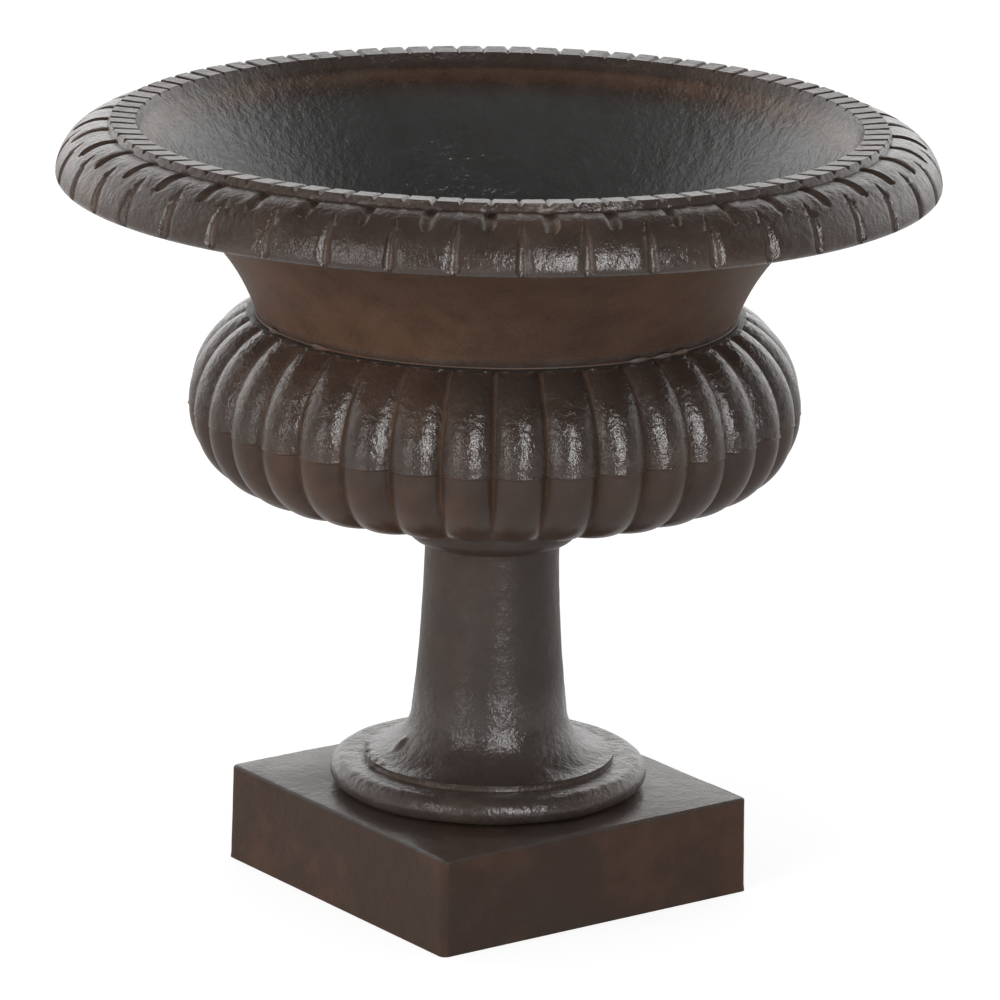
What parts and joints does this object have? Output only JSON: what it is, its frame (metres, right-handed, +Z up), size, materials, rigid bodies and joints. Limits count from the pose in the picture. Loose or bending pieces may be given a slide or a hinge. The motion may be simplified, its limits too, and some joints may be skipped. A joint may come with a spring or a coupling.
{
  "type": "garden urn planter",
  "caption": "Campana garden urn in cast iron: flared neck, rolled rim with notched bead and gouges, gadrooned bowl, waisted stem and square plinth, held by a tie rod.",
  "frame": {"origin": "centre of the plinth's foot, on the surface that the urn stands on", "axes": "+Z up along the urn's turning axis, X and Y square to the plinth's sides"},
  "size_m": [0.43, 0.43, 0.384],
  "materials": {
    "cast_iron": "dark brown waxed sand casting with rust in the recesses",
    "putty": "rust stained jointing putty",
    "steel": "dull zinc plated fasteners"
  },
  "bodies": {
    "root": {"plinth": "cast_iron", "stem": "cast_iron", "gadrooned_bowl": "cast_iron", "rim_and_neck": "cast_iron", "joint_putty": "putty", "tie_rod": "steel", "anchor_bar": "steel", "anchor_washer": "steel", "anchor_nut": "steel", "bowl_washer": "steel", "bowl_nut": "steel", "lug_bolts": "steel", "head_washers": "steel", "nut_washers": "steel", "lug_nuts": "steel"}
  },
  "joints": []
}
